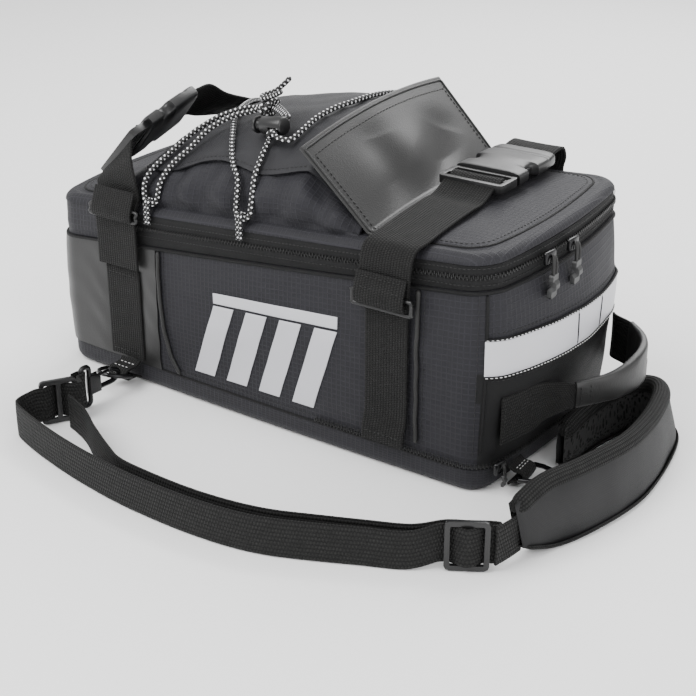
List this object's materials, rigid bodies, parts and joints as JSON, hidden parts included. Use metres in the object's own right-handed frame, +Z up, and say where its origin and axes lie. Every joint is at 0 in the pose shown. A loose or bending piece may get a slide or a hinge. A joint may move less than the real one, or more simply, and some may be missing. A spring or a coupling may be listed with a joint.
{
  "type": "bicycle rack bag",
  "caption": "Soft box bag for a bicycle's rear rack: zipped lid, domed top pocket under a bungee, buckled straps, reflective band, grab handle and shoulder strap.",
  "frame": {"origin": "centre of the flat base, on the surface it stands on", "axes": "+X towards the rear end with the reflective band and the grab handle, -Y towards the near side that the shoulder strap lies beside, +Z up"},
  "size_m": [0.4617, 0.3174, 0.237],
  "materials": {
    "ripstop": "ripstop weave",
    "coated": "smooth coated fabric",
    "webbing": "woven webbing",
    "plastic": "satin",
    "reflective": "reflective tape",
    "leatherette": "fine grain",
    "mesh": "spacer mesh",
    "cord": "braided black and white",
    "metal": "black enamel",
    "zip": "zip tape and coil"
  },
  "bodies": {
    "bag": {"anchor_loop_far_front": "cord", "anchor_loop_far_rear": "cord", "anchor_loop_near_front": "cord", "anchor_loop_near_middle": "cord", "base_tray": "coated", "base_zip_coil": "zip", "base_zip_pull": "plastic", "base_zip_slider": "metal", "body_shell": "ripstop", "buckle_front_female": "plastic", "buckle_front_male": "plastic", "buckle_rear_female": "plastic", "buckle_rear_male": "plastic", "bungee_front": "cord", "bungee_knot": "cord", "bungee_rear": "cord", "bungee_tails": "cord", "cover_flap": "leatherette", "dome_hood": "coated", "dome_pocket": "ripstop", "front_cap": "leatherette", "front_piping_far": "leatherette", "front_piping_near": "leatherette", "front_strap_side_far": "webbing", "front_strap_side_near": "webbing", "front_strap_top_far": "webbing", "front_strap_top_near": "webbing", "handle_grip": "leatherette", "handle_webbing": "webbing", "hook_front": "metal", "lid_panel": "ripstop", "lock_barrel": "plastic", "pad_webbing": "webbing", "rear_piping_far": "leatherette", "rear_piping_near": "leatherette", "rear_strap_side_far": "webbing", "rear_strap_side_near": "webbing", "rear_strap_top_far": "webbing", "rear_strap_top_near": "webbing", "reflective_band": "reflective", "reflective_motif": "reflective", "ring_front": "metal", "ring_rear": "metal", "ring_tab_front": "webbing", "ring_tab_rear": "webbing", "shoulder_pad": "coated", "shoulder_pad_mesh": "mesh", "shoulder_strap": "webbing", "slider_front": "plastic", "slider_rear": "plastic", "strap_ring_rear": "plastic", "zip_band": "zip", "zip_coil": "zip", "zip_pull_far": "plastic", "zip_pull_near": "plastic", "zip_slider_far": "metal", "zip_slider_near": "metal"},
    "gate": {"hook_gate": "metal"},
    "button": {"lock_button": "plastic"}
  },
  "joints": [
    {"name": "hook_gate_hinge", "type": "hinge", "parent": "bag", "child": "gate", "pos_m": [-0.10622, -0.12948, 0.0212], "axis": [-0.9998, 0.02, 0], "range_deg": [0, 18], "stiffness_Nm_per_rad": 0.004, "springref_deg": -11.46},
    {"name": "lock_button_slide", "type": "slide", "parent": "bag", "child": "button", "axis": [0.9926, -0.0393, 0.1145], "range_m": [0, 0.003], "stiffness_N_per_m": 300, "springref_m": -0.002}
  ]
}
